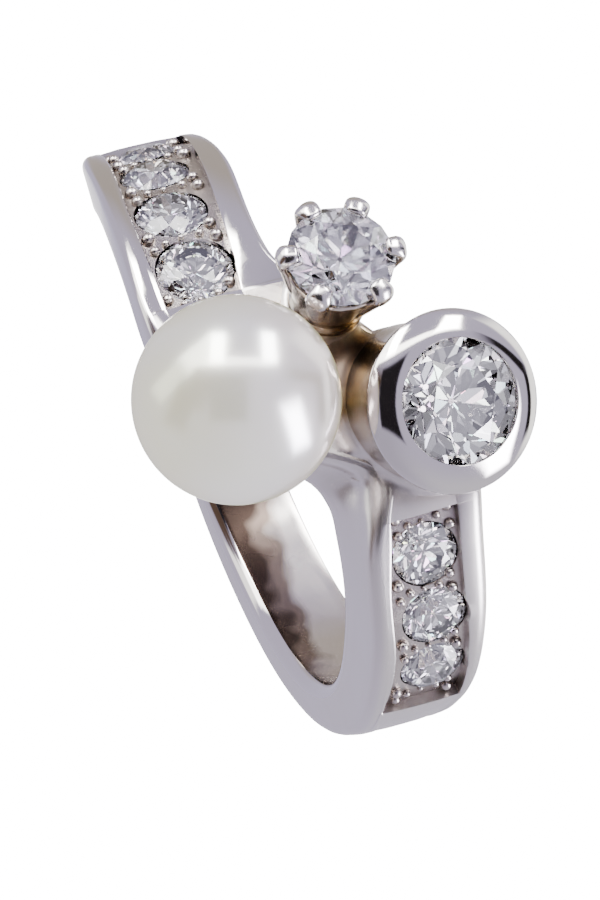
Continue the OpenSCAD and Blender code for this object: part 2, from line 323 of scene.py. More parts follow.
# Full of small inclusions: the same facets, softened and milky
CLOUDY_STONE = diamond("included_old_cut_diamond", "#F2F0F6", "#C6C2CE", 0.05)
stones = [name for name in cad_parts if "diamond" in name]
for name in stones:
    stone_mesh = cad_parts[name].data
    stone_mesh.materials.clear()
    stone_mesh.materials.append(CLOUDY_STONE if name == "claw_diamond" else CLEAR_STONE)
print("diamonds dressed:", len(stones))

# %% [markdown]
# The band is one swept form whose section changes all the way round. Its measured
# sections are the same as in the solids: the upper side at the hole, the upper and
# lower edges, and the top radius at both edges. A smooth curve runs through each column.

# %% Measured sections
# Each row: angle, upper side at the hole, upper and lower edge, top radius at both edges
SIDE, HIGH, LOW, TOP_AT_HIGH, TOP_AT_LOW = range(1, 6)
BAND = [
    (-180, 0.92, 0.92, -2.08, 10.62, 10.58), (-150, 1.27, 1.27, -1.52, 10.55, 10.58),
    (-120, 2.12, 2.12, -0.87, 10.72, 10.68), (-90, 3.62, 3.62, -0.32, 10.98, 10.84),
    (-60, 4.50, 4.50, -0.14, 10.80, 10.80), (-30, 5.10, 5.10, 0.28, 10.72, 10.75),
    (-18, 5.20, 5.20, -1.05, 10.65, 10.55), (-6, 5.00, 5.00, -2.60, 10.50, 10.45),
    (6, 3.70, 3.00, -4.30, 10.60, 10.60), (15, 1.40, 0.10, -4.30, 11.20, 11.15),
    (22, 0.75, 0.12, -4.00, 11.78, 11.75), (30, 0.65, 0.45, -3.72, 12.02, 12.00),
    (45, 0.62, 0.60, -3.50, 12.05, 12.05), (60, 0.68, 0.68, -3.26, 11.72, 11.82),
    (75, 0.69, 0.69, -3.03, 11.20, 11.26), (90, 0.68, 0.68, -2.93, 10.74, 10.78),
    (120, 0.68, 0.68, -2.70, 10.58, 10.62), (150, 0.70, 0.70, -2.40, 10.72, 10.72),
    (180, 0.92, 0.92, -2.08, 10.62, 10.58)]
# Each row: angle, middle and half width of the channel
MIDDLE, HALF = 1, 2
UPPER_CHANNEL = [(-87, 1.62, 1.40), (-62, 2.20, 1.46), (-44, 2.66, 1.46), (-23.2, 3.04, 1.30)]
LOWER_CHANNEL = [(23.6, -1.76, 1.17), (36, -1.42, 1.28), (50, -1.42, 1.31), (65, -1.22, 1.40)]
# Each stone: angle, height along the hole and diameter
UPPER_STONES = [(-31, 2.83, 2.60), (-46.5, 2.68, 2.45), (-62, 2.33, 2.35), (-77, 1.87, 2.25)]
LOWER_STONES = [(30.8, -1.60, 2.25), (42.8, -1.66, 2.25), (55.0, -1.58, 2.25)]
BORE_R, CHANNEL_DEPTH = 8.75, 0.35
EDGE_R, HOLE_EDGE_R = 0.45, 0.5  # rounding of the outer edges and of the hole's upper edge
FADE = 14  # degrees over which a channel's path runs out into the middle of the band


def eased(value):
    """A share from 0 to 1 that starts and ends gently."""
    value = min(max(value, 0.0), 1.0)
    return value * value * (3 - 2 * value)


def at(table, angle, column):
    """A smooth curve through one column of a table."""
    i = max(k for k in range(len(table) - 1) if table[k][0] <= angle or k == 0)

    def slope(k):
        lo, hi = max(k - 1, 0), min(k + 1, len(table) - 1)
        return (table[hi][column] - table[lo][column]) / (table[hi][0] - table[lo][0])

    width = table[i + 1][0] - table[i][0]
    u = (angle - table[i][0]) / width
    return (table[i][column] * (1 + 2 * u) * (1 - u) ** 2 + slope(i) * width * u * (1 - u) ** 2
            + table[i + 1][column] * u * u * (3 - 2 * u)
            + slope(i + 1) * width * u * u * (u - 1))


def floor_radius(angle):
    """How far from the hole's axis a channel's floor lies."""
    return (at(BAND, angle, TOP_AT_HIGH) + at(BAND, angle, TOP_AT_LOW)) / 2 - CHANNEL_DEPTH


def channel_at(angle):
    """Middle, half width and depth of the channel; beyond its ends it fades to the top."""
    hi, lo = at(BAND, angle, HIGH), at(BAND, angle, LOW)
    plain_mid, plain_half = (hi + lo) / 2, (hi - lo) * 0.28
    for table in (UPPER_CHANNEL, LOWER_CHANNEL):
        first, last = table[0][0], table[-1][0]
        if first - FADE < angle < last + FADE:
            near = min(max(angle, first), last)
            ease = eased(abs(angle - near) / FADE)
            mid, half = at(table, near, MIDDLE), at(table, near, HALF)
            return (mid * (1 - ease) + plain_mid * ease, half * (1 - ease) + plain_half * ease,
                    CHANNEL_DEPTH if first <= angle <= last else 0.0)
    return plain_mid, plain_half, 0.0


print("band width at the shoulders:", round(at(BAND, -30, HIGH) - at(BAND, -30, LOW), 2), "mm")

# %% [markdown]
# To model it, a circle is spun into a plain torus, and then each of its vertices is
# moved to its measured place: its row gives the angle and its column the point of the
# section. An operator makes all the faces, and they stay in neat rows, which polished
# metal needs. Two rows close together at each channel's end make its upright end wall.

# %% Section at one angle
def quarter(steps):
    """Turns from 0 to a quarter circle, in radians, in this many steps."""
    return [math.pi / 2 * k / steps for k in range(steps + 1)]


def section(angle):
    """The band's section at one angle: radius and z of each column, hole side first."""
    side, hi, lo, up, down = (at(BAND, angle, column)
                              for column in (SIDE, HIGH, LOW, TOP_AT_HIGH, TOP_AT_LOW))
    mid, half, depth = channel_at(angle)
    # Edges are crisp along the upper shoulder and widely rounded beside the bezel
    crisp = eased((-16 - angle) / 12) * eased((angle + 98) / 36)
    wide = eased((angle - 3) / 8) * eased((27 - angle) / 8)
    high_r, low_r = EDGE_R - 0.23 * crisp + 0.35 * wide, EDGE_R - 0.15 * crisp
    # Hole, its rounded upper edge, the upper side and the rounded upper edge
    points = [(BORE_R, side - 1.1)]
    points += [(BORE_R + HOLE_EDGE_R * (1 - math.cos(t)), side - HOLE_EDGE_R * (1 - math.sin(t)))
               for t in quarter(6)]
    start = BORE_R + HOLE_EDGE_R
    points += [(start + (up - high_r - start) * k, side + (hi - side) * eased(k))
               for k in (0.25, 0.5, 0.75)]
    points += [(up - high_r + high_r * math.sin(t), hi - high_r + high_r * math.cos(t))
               for t in quarter(5)]
    edge = min(mid + half, hi - high_r - 0.12)
    edge2 = max(mid - half, lo + low_r + 0.12)
    low = floor_radius(angle)

    def top(z):
        """Radius of the top: slightly crowned where plain, with a swelling upper rim."""
        share = (z - lo) / (hi - lo)
        crown = 0.05 * (1 - (2 * share - 1) ** 2) if depth == 0 else 0.0
        inward = min(max((hi - high_r - z) / (hi - high_r - edge), 0.0), 1.0)
        swell = (0.055 * (1 - (1 - inward) ** 2) - 0.12 * inward ** 3) * crisp
        return down + (up - down) * share + crown + (swell if z >= edge - 0.001 else 0.0)

    # Upper rim, channel wall and floor (or the plain top), and lower rim
    rim = hi - high_r - edge - 0.05
    points += [(top(edge + 0.05 + rim * k), edge + 0.05 + rim * k)
               for k in (0.8, 0.6, 0.4, 0.2, 0.0)]
    points.append((top(edge) - 0.02, edge + 0.01))
    for z in (edge, edge * 0.75 + edge2 * 0.25, (edge + edge2) / 2,
              edge * 0.25 + edge2 * 0.75, edge2):
        points.append((low if depth else top(z) - 0.02 * (z in (edge, edge2)), z))
    points += [(top(edge2) - 0.02, edge2 - 0.02), (top(edge2 - 0.07), edge2 - 0.07)]
    # Rounded lower edge, lower side, its small edge at the hole, and the hole again
    points += [(down - low_r + low_r * math.sin(t), lo + low_r - low_r * math.cos(t))
               for t in reversed(quarter(5))]
    small = 0.14
    points += [(BORE_R + small + (down - low_r - BORE_R - small) * k, lo)
               for k in (0.8, 0.6, 0.4, 0.2, 0.0)]
    points += [(BORE_R + 0.04, lo + 0.04), (BORE_R, lo + small), (BORE_R, lo + 0.5),
               (BORE_R, (side + lo) / 2)]
    return points


ROW_STEP, END_WALL = 1.5, 0.15  # degrees from row to row, and at a channel's end wall
row_angles = [k * ROW_STEP - 180 for k in range(round(360 / ROW_STEP))]
for table in (UPPER_CHANNEL, LOWER_CHANNEL):
    first, last = table[0][0], table[-1][0]
    row_angles += [first - END_WALL, first, last, last + END_WALL]
row_angles = sorted(set(row_angles))
column_count = len(section(0))
print("band rows", len(row_angles), "and columns", column_count)

# %% [markdown]
# Every piece ends the same way: doubles are merged, its faces are turned outwards, and
# the way the ring lies is written into the mesh, so the object itself stays at the
# origin. Faces are shaded smooth, and only edges that are really sharp stay so.

# %% From bmesh to piece
def finished(bm, name, *finishes, sharp=35, parent_node="ring_mount", slot_name="white_gold"):
    """Turns a bmesh into a piece of the laid-down ring; edges over sharp degrees stay hard."""
    bmesh.ops.remove_doubles(bm, verts=bm.verts, dist=1e-5)
    bmesh.ops.recalc_face_normals(bm, faces=bm.faces)
    bm.transform(LAID)
    for face in bm.faces:
        face.smooth = True
    for edge in bm.edges:
        if len(edge.link_faces) == 2 and edge.calc_face_angle() > math.radians(sharp):
            edge.smooth = False
    mesh = bpy.data.meshes.new(name)
    bm.to_mesh(mesh)
    bm.free()
    piece = bpy.data.objects.new(name, mesh)
    bpy.context.scene.collection.objects.link(piece)
    for finish in finishes:
        mesh.materials.append(finish)
    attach(piece, "root")
    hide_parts(parent_node)
    print(name, "faces", len(mesh.polygons))


# %% [markdown]
# The torus is made at any handy size: a circle with one vertex for each column, spun in
# one step for each row. Two angles then tell which row and column a vertex belongs to.

# %% Band from a spun torus
TORUS_R = 5


def band_mesh():
    """The band before its seats are cut, in the ring's own axes."""
    bm = bmesh.new()
    upright = Matrix.Translation((TORUS_R, 0, 0)) @ Matrix.Rotation(math.pi / 2, 4, "X")
    bmesh.ops.create_circle(bm, segments=column_count, radius=1.0, matrix=upright)
    bmesh.ops.spin(bm, geom=bm.verts[:] + bm.edges[:], cent=(0, 0, 0), axis=(0, 0, 1),
                   angle=2 * math.pi, steps=len(row_angles), use_merge=True)
    rows = [section(a) for a in row_angles]
    for vert in bm.verts:
        x, y, z = vert.co
        turn = math.atan2(y, x) % (2 * math.pi)
        row = round(turn / (2 * math.pi) * len(row_angles)) % len(row_angles)
        around = math.atan2(z, math.hypot(x, y) - TORUS_R) % (2 * math.pi)
        column = round(around / (2 * math.pi) * column_count) % column_count
        radius, height = rows[row][column]
        vert.co = spot(row_angles[row], radius, height)
    bmesh.ops.recalc_face_normals(bm, faces=bm.faces)
    return bm


bm = band_mesh()
band_surface = BVHTree.FromBMesh(bm)
print("band faces before cutting", len(bm.faces))

# %% [markdown]
# Each stone sits in a seat with an open back, so that light reaches it from behind.
# A lathe profile spun round the stone's axis gives a cutter with that shape, and one
# boolean per stone sinks it into the band. The cutters are thrown away afterwards.

# %% Lathe and seat profile
def lathe(bm, profile, place, steps=48):
    """Spins a profile of (radius, z) points round a setting's axis."""
    verts = [bm.verts.new(place @ Vector((r, 0, z))) for r, z in profile]
    edges = [bm.edges.new(pair) for pair in zip(verts, verts[1:])]
    axis = place.to_3x3() @ Vector((0, 0, 1))
    bmesh.ops.spin(bm, geom=verts + edges, cent=place.translation, axis=axis,
                   angle=2 * math.pi, steps=steps, use_merge=True)


STONE_GAP, OPEN_BACK_R = 0.04, 0.55
CUT_ABOVE, CUT_BELOW = 1.0, 4.0  # how far the cutter reaches past the band on both sides


def girdle_radius(angle, diameter):
    """How far from the hole's axis a shoulder stone's widest part lies."""
    return floor_radius(angle) + CHANNEL_DEPTH - 0.17 * diameter - 0.03


def seat_profile(diameter):
    """An open back, a cone under the stone and a wall beside its girdle."""
    r = diameter / 2 + STONE_GAP
    return [(0, -CUT_BELOW), (OPEN_BACK_R, -CUT_BELOW), (OPEN_BACK_R, -0.344 * diameter),
            (r, -0.01 * diameter - 0.02), (r, CUT_ABOVE), (0, CUT_ABOVE)]


largest = max(diameter for angle, z, diameter in UPPER_STONES)
print("seat of the largest shoulder stone:", [(round(r, 2), round(z, 2))
                                              for r, z in seat_profile(largest)])

# %% [markdown]
# The exact boolean solver needs two closed meshes. Both are put into the scene for the
# moment of the cut, the result is read from the evaluated object, and both are removed.
# The bezel and the claw setting get deep seats of their own, open at the back.

# %% Seats cut in the band
def cut(piece_bm, profile, place):
    """One boolean difference of a lathed cutter from a bmesh, given back as a bmesh."""
    meshes, objects = [], []
    cutter = bmesh.new()
    lathe(cutter, profile, place)
    bmesh.ops.remove_doubles(cutter, verts=cutter.verts, dist=1e-4)
    bmesh.ops.recalc_face_normals(cutter, faces=cutter.faces)
    for source, label in ((piece_bm, "cut_this"), (cutter, "cut_with")):
        mesh = bpy.data.meshes.new(label)
        source.to_mesh(mesh)
        source.free()
        obj = bpy.data.objects.new(label, mesh)
        bpy.context.scene.collection.objects.link(obj)
        meshes.append(mesh)
        objects.append(obj)
    difference = objects[0].modifiers.new("seat", "BOOLEAN")
    difference.operation, difference.solver = "DIFFERENCE", "EXACT"
    difference.object = objects[1]
    graph = bpy.context.evaluated_depsgraph_get()
    out = bmesh.new()
    out.from_mesh(objects[0].evaluated_get(graph).to_mesh())
    for obj in objects:
        bpy.data.objects.remove(obj)
    for mesh in meshes:
        bpy.data.meshes.remove(mesh)
    return out


for angle, z, diameter in UPPER_STONES + LOWER_STONES:
    place = setting_frame(angle, girdle_radius(angle, diameter), z, angle, 0)
    bm = cut(bm, seat_profile(diameter), place)
# Under the bezel a hole that widens to a step, under the claws a straight one
bm = cut(bm, [(0, -6), (0.9, -6), (0.9, -2.1), (1.4, -1.6), (1.4, 1), (0, 1)], BEZEL)
bm = cut(bm, [(0, -6), (0.65, -6), (0.65, 1), (0, 1)], CLAWS)
print("band faces after cutting", len(bm.faces))

# %% [markdown]
# One solid band still wears several finishes: a mirror on the shoulders, satin on the
# shank that rubs against things, graver work on the channel floors, painted shade in the
# hole and bright seats. Each face takes the finish of the place where its middle lies.

# %% Finishes on the band
POLISHED, WORN, CUT, HOLE, SEAT = range(5)


def finish_at(point):
    """The finish at a place on the band."""
    angle, radius = math.degrees(math.atan2(-point.x, -point.y)), math.hypot(point.x, point.y)
    mid, half, depth = channel_at(angle)
    if radius < BORE_R + 0.03:
        return HOLE
    if depth and abs(point.z - mid) < half + 0.01 and radius < floor_radius(angle) + 0.12:
        return CUT if radius > floor_radius(angle) - 0.03 else SEAT
    # The metal round the foot of the claw setting was cut with a graver too
    if -22.5 < angle < -8 and point.z < mid - half * 0.8 and radius > BORE_R + 1.2:
        return CUT
    return WORN if radius > BORE_R + 0.48 and (angle > 2 or angle < -150) else POLISHED


for face in bm.faces:
    face.material_index = finish_at(face.calc_center_median())
finished(bm, "band", WHITE_GOLD, WORN_GOLD, CUT_GOLD, BORE_GOLD, SEAT_GOLD, sharp=28)

# %% [markdown]
# The bezel is a cup turned on a lathe, so its profile is spun. Its rim was rubbed
# over the stone: a rounded outer lip, a domed top and a thin edge pressed on the
# diamond. Where it was soldered on, a small hollow fillet runs from cup to band; its
# outer line is found by casting rays on the band, and its curve is tangent to both.

# %% Bezel cup
def arc(cx, cz, r, start, end, count):
    """Points of a round stretch of a profile, from one angle to the other."""
    turns = [math.radians(start + (end - start) * k / (count - 1)) for k in range(count)]
    return [(cx + r * math.cos(t), cz + r * math.sin(t)) for t in turns]


bezel_profile = ([(0.9, -4.6), (2.5, -4.6), (2.58, -3.6), (2.66, -2.6), (2.76, -1.6),
                  (2.88, -0.9), (2.97, -0.5)]
                 + arc(2.93, -0.20, 0.14, -40, 38, 7) + arc(1.858, -1.0375, 1.5, 38, 80, 14)[1:]
                 + [(2.105, 0.43), (2.095, 0.415), (2.10, 0.20), (2.16, 0.10),
                    (2.22, 0.04), (2.24, -0.08), (1.15, -1.75), (0.9, -2.1), (0.9, -4.6)])
POLISHED_RIM, SHADED_WALL, BRIGHT_SEAT = range(3)
bm = bmesh.new()
lathe(bm, bezel_profile, BEZEL, steps=128)
for face in bm.faces:
    x, y, z = BEZEL.inverted() @ face.calc_center_median()
    # Below the rim the cup's wall takes the finish with painted yellowish shade
    face.material_index = SHADED_WALL if z < -0.5 else POLISHED_RIM
    if math.hypot(x, y) < 2.25 and -4.5 < z < 0.3:
        face.material_index = BRIGHT_SEAT
finished(bm, "bezel_cup", WHITE_GOLD, CUP_GOLD, SEAT_GOLD, sharp=40)

# %% [markdown]
# The solder fillet is nine rings of vertices, bridged one to the next. The first lies on
# the cup's wall and the last on the band, where a ray along the setting's axis meets it;
# where the band has already curved away, the fillet just tapers down the wall.

# %% Solder fillet
def bridge(bm, rings):
    """Joins each ring of vertices to the next with a strip of faces."""
    for a, b in zip(rings, rings[1:]):
        edges = {e for ring in (a, b) for v in ring for e in v.link_edges
                 if e.verts[0] in ring and e.verts[1] in ring}
        bmesh.ops.bridge_loops(bm, edges=list(edges))


RAY_START, RAY_PAST = 1.0, 2.5  # mm over the setting's origin and past the fillet's foot


def fillet(name, place, wall_r, wall_z, reach, depth, steps=96):
    """A hollow ring of metal from a cup's wall down to the band round it."""
    out = place.to_3x3() @ Vector((0, 0, 1))

    def foot(flat):
        """The band under a place beside the cup, or nothing where the band is too far."""
        return band_surface.ray_cast(place @ (flat + Vector((0, 0, RAY_START))), -out,
                                     RAY_START + RAY_PAST - wall_z + depth)[0]

    rings = []
    bm = bmesh.new()
    for t in (k / 8 for k in range(9)):
        ring = bmesh.ops.create_circle(bm, segments=steps, radius=1.0)["verts"]
        rings.append(ring)
        for vert in ring:
            turn = math.atan2(vert.co.y, vert.co.x)
            flat = Vector((math.cos(turn), math.sin(turn), 0))
            corner = foot(flat * wall_r) or place @ (flat * wall_r + Vector((0, 0, wall_z - depth)))
            hit = foot(flat * (wall_r + reach)) or corner - out * reach * 0.8
            base = place.inverted() @ corner
            top_z = max(min(base.z + reach * 1.1, wall_z), base.z + 0.05)
            top = place @ (flat * (wall_r + 0.004) + Vector((0, 0, top_z)))
            vert.co = top * (1 - t) ** 2 + corner * 2 * t * (1 - t) + hit * t * t
    bridge(bm, rings)
    finished(bm, name, WORN_GOLD, sharp=60)


fillet("bezel_fillet", BEZEL, 2.60, -0.9, 0.75, 2.0)

# %% [markdown]
# The small setting has a tapered cup and six round claws. Each claw rises from the
# cup, leans out past the stone's edge and is bent over it. A chain of circles along
# that path, bridged one to the next and rounded off at both ends, makes one claw.

# %% Bars for the claws
CAP_TURNS = (0.35, 0.7, 1.05, 1.35)  # radians from a bar's side to its rounded tip


def tube(bm, path, sizes, place, segments=24):
    """Ovals along a path in the XZ plane, bridged to a closed bar with rounded ends."""
    points = [Vector(p) for p in path]
    chain = []
    for i, point in enumerate(points):
        way = (points[min(i + 1, len(points) - 1)] - points[max(i - 1, 0)]).normalized()
        chain.append((point, way, sizes[i]))
    for end, sign in ((0, -1), (-1, 1)):
        point, way, (thin, wide) = chain[end]
        caps = [(point + way * sign * thin * math.sin(t), way,
                 (thin * math.cos(t), wide * math.cos(t) ** 0.8)) for t in CAP_TURNS]
        chain = caps[::-1] + chain if sign < 0 else chain + caps
    rings = []
    for point, way, (thin, wide) in chain:
        side = Vector((0, 1, 0))
        axes = Matrix((side.cross(way) * thin, side * wide, way)).transposed().to_4x4()
        rings.append(bmesh.ops.create_circle(
            bm, segments=segments, radius=1.0,
            matrix=place @ Matrix.Translation(point) @ axes)["verts"])
    bridge(bm, rings)
    for ring in (rings[0], rings[-1]):
        bmesh.ops.contextual_create(bm, geom=ring)


# %% [markdown]
# The claws aren't evenly spaced on the real ring, as they were bent by hand: their turns
# were read one by one from the photograph. The cup between them is turned on the lathe,
# with a small bead where it meets its stem.

# %% Claw setting
CLAW_TURNS = (168.3, 107.3, 54.1, -8.4, -64.8, -133.5)
# A claw's path, from its root to its tip: distance from the stone's axis and height
CLAW_PATH = [(1.30, -2.0), (1.48, -1.4), (1.66, -0.8), (1.82, -0.3), (1.93, -0.05),
             (1.97, 0.08), (1.95, 0.20), (1.87, 0.28), (1.76, 0.33), (1.62, 0.38)]
# Its half thickness and half width at each point of the path
CLAW_SIZES = [(0.20, 0.34), (0.22, 0.37), (0.24, 0.40), (0.25, 0.42), (0.25, 0.43),
              (0.25, 0.43), (0.24, 0.42), (0.22, 0.40), (0.20, 0.37), (0.16, 0.33)]
OUTSIDE, INSIDE = range(2)
bm = bmesh.new()
lathe(bm, [(0.65, -4.8), (1.15, -4.8), (1.15, -3.3), (1.24, -3.26), (1.32, -3.2), (1.32, -3.05),
           (1.26, -2.96), (1.2, -2.9), (1.4, -2.1), (1.6, -1.2), (1.76, -0.52), (1.78, -0.45),
           (1.76, -0.38), (1.7, -0.34), (1.62, -0.34), (1.55, -0.42), (1.3, -1.1),
           (0.65, -2.6), (0.65, -4.8)], CLAWS, steps=96)
# Outside, the cup takes the finish with painted yellowish shade towards the bottom
for face in bm.faces:
    x, y, z = CLAWS.inverted() @ face.calc_center_median()
    inside = z > -2.7 and math.hypot(x, y) < 1.74 + 0.36 * z
    face.material_index = INSIDE if inside else OUTSIDE
finished(bm, "claw_cup", CUP_GOLD, SEAT_GOLD, sharp=50)

for i, turn in enumerate(CLAW_TURNS):
    bm = bmesh.new()
    tube(bm, [(r, 0, z) for r, z in CLAW_PATH], CLAW_SIZES,
         CLAWS @ Matrix.Rotation(math.radians(turn), 4, "Z"))
    finished(bm, f"claw_{i + 1}", CLAW_GOLD, sharp=60)

fillet("claw_fillet", CLAWS, 1.16, -2.6, 0.35, 1.2, steps=64)

# %% [markdown]
# A pearl is glued on a peg over a shallow dish. Both are spun, and the pearl's own
# profile runs from its top down to the drilled hole, so it is closed and hollow there.

# %% Pearl and its dish
PEARL_R, DRILLED_R, DRILLED_TO, PEG_R = 3.425, 0.49, -1.3, 0.45
bm = bmesh.new()
lathe(bm, [(0, -4.3), (PEG_R, -4.3), (PEG_R, -1.42), (0.38, -1.40), (0, -1.40)], PEARL, steps=32)
lathe(bm, [(0, -5.4), (1.3, -5.4), (1.22, -4.8), (1.15, -4.2), (1.28, -3.85), (1.5, -3.6),
           (1.8, -3.3), (1.95, -3.1), (1.95, -2.98), (1.90, -2.94), (1.2, -3.27), (0, -3.47)],
      PEARL, steps=64)
finished(bm, "pearl_dish", WHITE_GOLD, sharp=40)

hole_turn = math.degrees(math.asin(DRILLED_R / PEARL_R))
bm = bmesh.new()
lathe(bm, arc(0, 0, PEARL_R, 90, -90 + hole_turn, 64) + [(DRILLED_R, DRILLED_TO), (0, DRILLED_TO)],
      PEARL, steps=128)
finished(bm, "pearl_ball", NACRE, sharp=40, parent_node="pearl", slot_name="pearl")

# %% [markdown]
# Between the stones the setter raised small grains of metal with a graver and pushed
# them over the girdles. They are the tiny bright balls at the stones' corners.

# %% Grains
# Angles of the gaps between stones, and the beads of one gap in the upper channel: degrees
# ahead, mm off the channel's middle and radius
UPPER_GAPS, LOWER_GAPS = (-24.0, -38.8, -54.2, -69.5, -83.6), (25.2, 36.8, 48.9, 61.6)
BEADS = [(-1.7, 1.13, 0.22), (1.9, 1.05, 0.19), (-1.9, -1.05, 0.20), (1.6, -1.13, 0.23),
         (0.2, 0.62, 0.15), (-0.2, -0.60, 0.16), (0.1, 0.05, 0.11)]
bm = bmesh.new()
for table, gaps, scale in ((UPPER_CHANNEL, UPPER_GAPS, 1.0), (LOWER_CHANNEL, LOWER_GAPS, 0.84)):
    for gap in gaps:
        for ahead, off, radius in BEADS:
            angle = gap + ahead * scale + random.uniform(-0.3, 0.3)
            if not table[0][0] < angle < table[-1][0]:
                continue
            middle = at(table, angle, MIDDLE)
            centre = spot(angle, floor_radius(angle) + 0.05, middle + off * scale)
            bmesh.ops.create_icosphere(bm, subdivisions=3,
                                       radius=radius * scale * random.uniform(0.9, 1.12),
                                       matrix=Matrix.Translation(centre))
finished(bm, "grains", CUT_GOLD, sharp=60)

# %% [markdown]
# The camera stands 230 mm away behind a long lens, as close-up pictures of rings are
# taken, so near and far parts keep nearly the same scale. Its place comes from fitting
# the head, the stones and the hole to the photograph: 4.5 degrees to one side of the
# head, 13 degrees along the finger's axis, and rolled until the band slants as it does
# there. The look direction is turned a little, so the ring sits off the picture's middle.

# %% Camera
AZIMUTH, ELEVATION, ROLL, DISTANCE, FOCAL = -4.5, 13.0, 16.8, 230.0, 6640.0
OFFSET = (-31.0, -14.0)  # pixels from the picture's middle to the ring's origin
PICTURE_HEIGHT, SENSOR = 900, 36.0
a, e, roll = (math.radians(v) for v in (AZIMUTH, ELEVATION, ROLL))
back = Vector((math.sin(a) * math.cos(e), -math.cos(a) * math.cos(e), math.sin(e)))
up = Vector((1, 0, 0))
up = (up - back * up.dot(back)).normalized()
right = (-back).cross(up)
cam_right = right * math.cos(roll) - up * math.sin(roll)
cam_up = right * math.sin(roll) + up * math.cos(roll)
look = (-back - cam_right * (OFFSET[0] / FOCAL) + cam_up * (OFFSET[1] / FOCAL)).normalized()
cam_right = (cam_right - look * cam_right.dot(look)).normalized()
cam_up = cam_right.cross(look)
turn = LAID.to_3x3() * 1000
camera_axes = (turn @ cam_right, turn @ cam_up, turn @ -look)
camera = bpy.data.objects.new("camera", bpy.data.cameras.new("camera"))
bpy.context.scene.collection.objects.link(camera)
camera.matrix_world = (Matrix.Translation(LAID @ (back * DISTANCE))
                       @ Matrix(camera_axes).transposed().to_4x4())
camera.data.sensor_width = SENSOR
camera.data.lens = FOCAL / PICTURE_HEIGHT * SENSOR
camera.data.clip_start, camera.data.clip_end = 0.01, 10.0
bpy.context.scene.camera = camera
print("camera height above the floor", round(camera.location.z * 1000), "mm")

# %% [markdown]
# Under the ring is a plain white table top, as sheet paper would be. A white sheet in a
# studio is lit until it burns out, so the disc glows by itself. It is hidden from every
# ray but the camera's, because its glow would drown the reflections under the ring.

# %% Floor
material, tree = new_material("matt_white_paper")
place = add(tree, "ShaderNodeTexCoord").outputs["Object"]
# Paper: an even matt white; its cloudiness is drawn 25 mm wide, as fibres are too fine
fibres = add(tree, "ShaderNodeTexNoise", Vector=place, Scale=scale_of(25))
tone = add(tree, "ShaderNodeValToRGB", Fac=fibres.outputs["Fac"],
           stops=((0.0, "#F4F3F2"), (1.0, "#F8F8F7")))
shader = add(tree, "ShaderNodeBsdfPrincipled", Base_Color=tone.outputs["Color"],
             Roughness=0.7, Emission_Color=linear("#FFFFFF"), Emission_Strength=16.0)
add(tree, "ShaderNodeOutputMaterial", Surface=shader.outputs["BSDF"])
bm = bmesh.new()
bmesh.ops.create_circle(bm, cap_ends=True, segments=64, radius=1.2)
mesh = bpy.data.meshes.new("floor")
bm.to_mesh(mesh)
bm.free()
floor = bpy.data.objects.new("floor", mesh)
bpy.context.scene.collection.objects.link(floor)
mesh.materials.append(material)
for ray in ("visible_diffuse", "visible_glossy", "visible_transmission", "visible_shadow"):
    setattr(floor, ray, False)
print("floor", round(floor.dimensions.x, 2), "m across")

# %% [markdown]
# A polished ring is lit by what it mirrors, so the whole studio is one light tent, made
# in the world's nodes in place of lamps. To lay panels on it, each direction is turned
# into a flat chart: degrees to the right and upwards from the middle of the picture, with
# 180 straight behind it. The chart is fixed to the world and stays there for other views.

# %% Chart of the surround
world = bpy.data.worlds.new("light_tent")
bpy.context.scene.world = world
world.use_nodes = True
tree = world.node_tree
tree.nodes.clear()
direction = add(tree, "ShaderNodeTexCoord").outputs["Generated"]
shares = [add(tree, "ShaderNodeVectorMath", {"operation": "DOT_PRODUCT"},
              {0: direction, 1: axis.normalized()}).outputs["Value"] for axis in camera_axes]
angle = add(tree, "ShaderNodeMath", {"operation": "ARCCOSINE"}, {0: shares[2]})
flat = add(tree, "ShaderNodeCombineXYZ", X=shares[0], Y=shares[1])
unit = add(tree, "ShaderNodeVectorMath", {"operation": "NORMALIZE"}, {0: flat.outputs["Vector"]})
degrees = add(tree, "ShaderNodeMath", {"operation": "MULTIPLY"},
              {0: angle.outputs["Value"], 1: 180 / math.pi}).outputs["Value"]
chart = add(tree, "ShaderNodeVectorMath", {"operation": "SCALE"},
            {0: unit.outputs["Vector"]}, Scale=degrees).outputs["Vector"]
print("chart of", len(shares), "directions")

# %% [markdown]
# A panel is a soft-edged rectangle laid over the tent below it, bright for a lamp or a
# white card and dark for a black one. Its mask is the larger of the two distances from
# its middle. The bright panels are where the photograph's highlights ask for them, and
# the dark ones give the bezel its black bands: metal with nothing dark to mirror looks
# like plaster.

# %% Panels of the light tent
def panel(below, centre, half, turned, soft, colour, strength):
    """A panel over the tent below; centre, half size and turn are in degrees."""
    place = add(tree, "ShaderNodeMapping", {"vector_type": "TEXTURE"}, Vector=chart,
                Location=(*centre, 0), Rotation=(0, 0, math.radians(turned)),
                Scale=(*half, 1))
    size = add(tree, "ShaderNodeVectorMath", {"operation": "ABSOLUTE"},
               {0: place.outputs["Vector"]})
    parts = add(tree, "ShaderNodeSeparateXYZ", Vector=size.outputs["Vector"])
    far = add(tree, "ShaderNodeMath", {"operation": "MAXIMUM"},
              {0: parts.outputs["X"], 1: parts.outputs["Y"]})
    mask = add(tree, "ShaderNodeMapRange", {"interpolation_type": "SMOOTHSTEP"},
               Value=far.outputs["Value"], From_Min=1 - soft, From_Max=1 + soft,
               To_Min=1.0, To_Max=0.0)
    return add(tree, "ShaderNodeMixRGB", Fac=mask.outputs["Result"], Color1=below,
               Color2=linear(colour, strength)).outputs["Color"]


